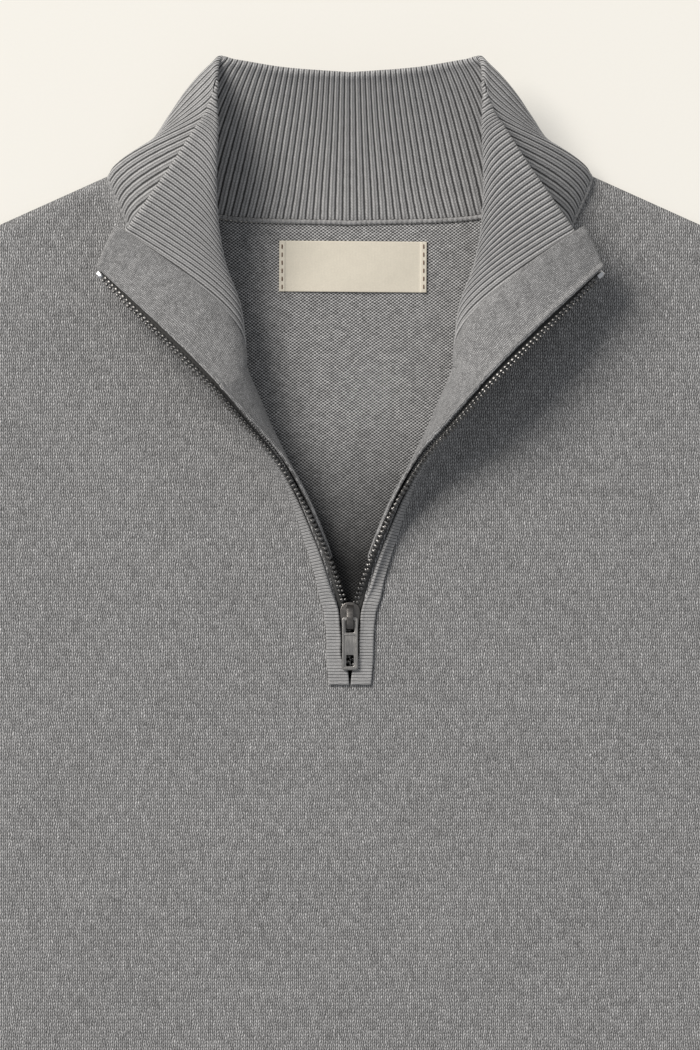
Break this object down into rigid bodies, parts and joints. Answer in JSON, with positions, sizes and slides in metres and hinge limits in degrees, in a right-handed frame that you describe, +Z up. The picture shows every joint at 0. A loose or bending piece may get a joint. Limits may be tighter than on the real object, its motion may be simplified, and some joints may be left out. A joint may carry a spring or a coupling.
{
  "type": "quarter zip sweater",
  "caption": "Quarter zip sweater in heather grey knit, laid flat on its back with the ribbed collar and zip opened out; the zip's pull tab turns.",
  "frame": {"origin": "middle of the underside of the whole garment's box", "axes": "+X across the chest towards the sleeve on the right of the picture, +Y from the hem to the collar, +Z up from the surface it lies on"},
  "size_m": [1.162, 0.7406, 0.0385],
  "materials": {
    "jersey": "heather grey fine plain knit",
    "rib_knit": "heather grey rib knit",
    "tape": "dark grey woven zip tape",
    "label_cloth": "cream woven satin",
    "zip_metal": "gunmetal, softly brushed",
    "stop_metal": "bright nickel"
  },
  "bodies": {
    "sweater": {"front": "jersey", "back": "jersey", "sleeve_left": "jersey", "sleeve_right": "jersey", "cuff_left": "rib_knit", "cuff_right": "rib_knit", "hem_front": "rib_knit", "hem_back": "rib_knit", "collar": "rib_knit", "trim_left": "rib_knit", "trim_right": "rib_knit", "facing_left": "jersey", "facing_right": "jersey", "zip_tape_left": "tape", "zip_tape_right": "tape", "zip_stop_left": "stop_metal", "zip_stop_right": "stop_metal", "zip_slider": "zip_metal", "neck_label": "label_cloth"},
    "pull": {"zip_pull": "zip_metal"}
  },
  "joints": [
    {"name": "pull_hinge", "type": "hinge", "parent": "sweater", "child": "pull", "pos_m": [0, 0.13855, 0.00845], "axis": [-1, 0, 0], "range_deg": [0, 150]}
  ]
}
